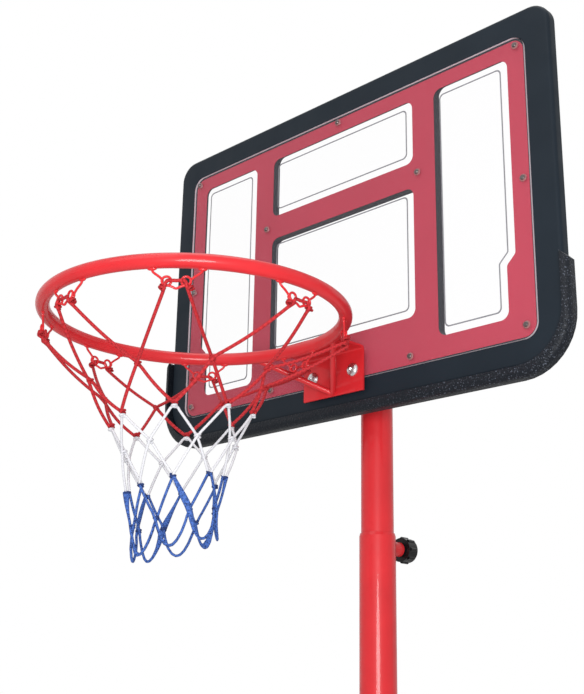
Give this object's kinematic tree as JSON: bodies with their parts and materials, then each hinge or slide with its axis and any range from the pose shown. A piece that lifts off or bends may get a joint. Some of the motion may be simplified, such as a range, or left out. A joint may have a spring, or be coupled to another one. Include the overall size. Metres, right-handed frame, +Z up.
{
  "type": "portable basketball hoop",
  "caption": "Free-standing height-adjustable basketball hoop: clear board in a moulded frame, ring with a corded net, telescoping pole with a clamp knob, and a wheeled weighted base.",
  "frame": {"origin": "on the floor, under the pole's axis, in the base's flat underside", "axes": "+Z up; -Y towards the front, the way the board faces; +X to the right seen from the front"},
  "size_m": [0.736, 0.884, 2.016],
  "materials": {
    "frame_black": "fine moulded grain, satin",
    "pad_rubber": "pebbled, matt",
    "clear_sheet": "clear and polished",
    "print_red": "printed film behind the sheet",
    "print_grey": "printed line behind the sheet",
    "screw_dark": "darkened steel",
    "washer_light": "light moulded washer",
    "red_paint": "gloss powder coat",
    "black_paint": "satin powder coat",
    "zinc": "bright zinc plate",
    "cord_red": "braided cord",
    "cord_white": "braided cord",
    "cord_blue": "braided cord",
    "black_plastic": "moulded, satin",
    "tank_plastic": "blown plastic, fine grain",
    "sand": "dry loose sand",
    "wheel_plastic": "moulded, satin",
    "seal_rubber": "smooth, matt"
  },
  "bodies": {
    "base": {"base_tank": "tank_plastic", "ballast": "sand", "base_collar": "black_plastic", "collar_screws": "zinc", "axle": "zinc", "axle_caps": "zinc", "bottom_pole": "red_paint", "middle_pole": "red_paint", "joint_screw": "zinc", "clamp_boss": "red_paint"},
    "head": {"backboard_frame": "frame_black", "edge_pad": "pad_rubber", "clear_sheet": "clear_sheet", "red_print": "print_red", "line_print": "print_grey", "sheet_screws": "screw_dark", "screw_washers": "washer_light", "rear_bracket": "black_paint", "bracket_screws": "zinc", "rim_ring": "red_paint", "rim_bracket": "red_paint", "rim_braces": "red_paint", "rim_bolts": "zinc", "rim_washers": "zinc", "rim_nuts": "zinc", "net_hooks": "red_paint", "net_red": "cord_red", "net_white": "cord_white", "net_blue": "cord_blue", "upper_pole": "red_paint", "pole_cap": "black_plastic", "guide_bush": "black_plastic", "pole_bolts": "zinc", "pole_nuts": "zinc"},
    "clamp_foot": {"clamp_pad": "black_plastic"},
    "clamp_screw": {"clamp_stud": "zinc", "knob": "black_plastic"},
    "wheel_on_left": {"left_wheel": "wheel_plastic"},
    "wheel_on_right": {"right_wheel": "wheel_plastic"},
    "seal": {"cap_seal": "seal_rubber"},
    "cap": {"filler_cap": "black_plastic"}
  },
  "joints": [
    {"name": "height", "type": "slide", "parent": "base", "child": "head", "axis": [0, 0, 1], "range_m": [-0.14, 0.33]},
    {"name": "clamp_travel", "type": "slide", "parent": "base", "child": "clamp_foot", "axis": [0, 1, 0], "range_m": [0, 0.0045]},
    {"name": "clamp_turn", "type": "hinge", "parent": "clamp_foot", "child": "clamp_screw", "pos_m": [0, 0.058, 1.356], "axis": [0, 1, 0], "range_deg": [0, 1080]},
    {"name": "left_wheel_spin", "type": "hinge", "parent": "base", "child": "wheel_on_left", "pos_m": [-0.21275, -0.147, 0.042], "axis": [1, 0, 0], "continuous": true},
    {"name": "right_wheel_spin", "type": "hinge", "parent": "base", "child": "wheel_on_right", "pos_m": [0.21275, -0.147, 0.042], "axis": [1, 0, 0], "continuous": true},
    {"name": "cap_lift", "type": "slide", "parent": "base", "child": "seal", "axis": [0, 0, 1], "range_m": [0, 0.006]},
    {"name": "cap_turn", "type": "hinge", "parent": "seal", "child": "cap", "pos_m": [0.165, 0.25, 0.13], "axis": [0, 0, 1], "range_deg": [0, 720]}
  ],
  "couplings": [
    {"joint": "clamp_turn", "follows": "clamp_travel", "rad_per_m": 4188},
    {"joint": "cap_turn", "follows": "cap_lift", "rad_per_m": 2094}
  ]
}
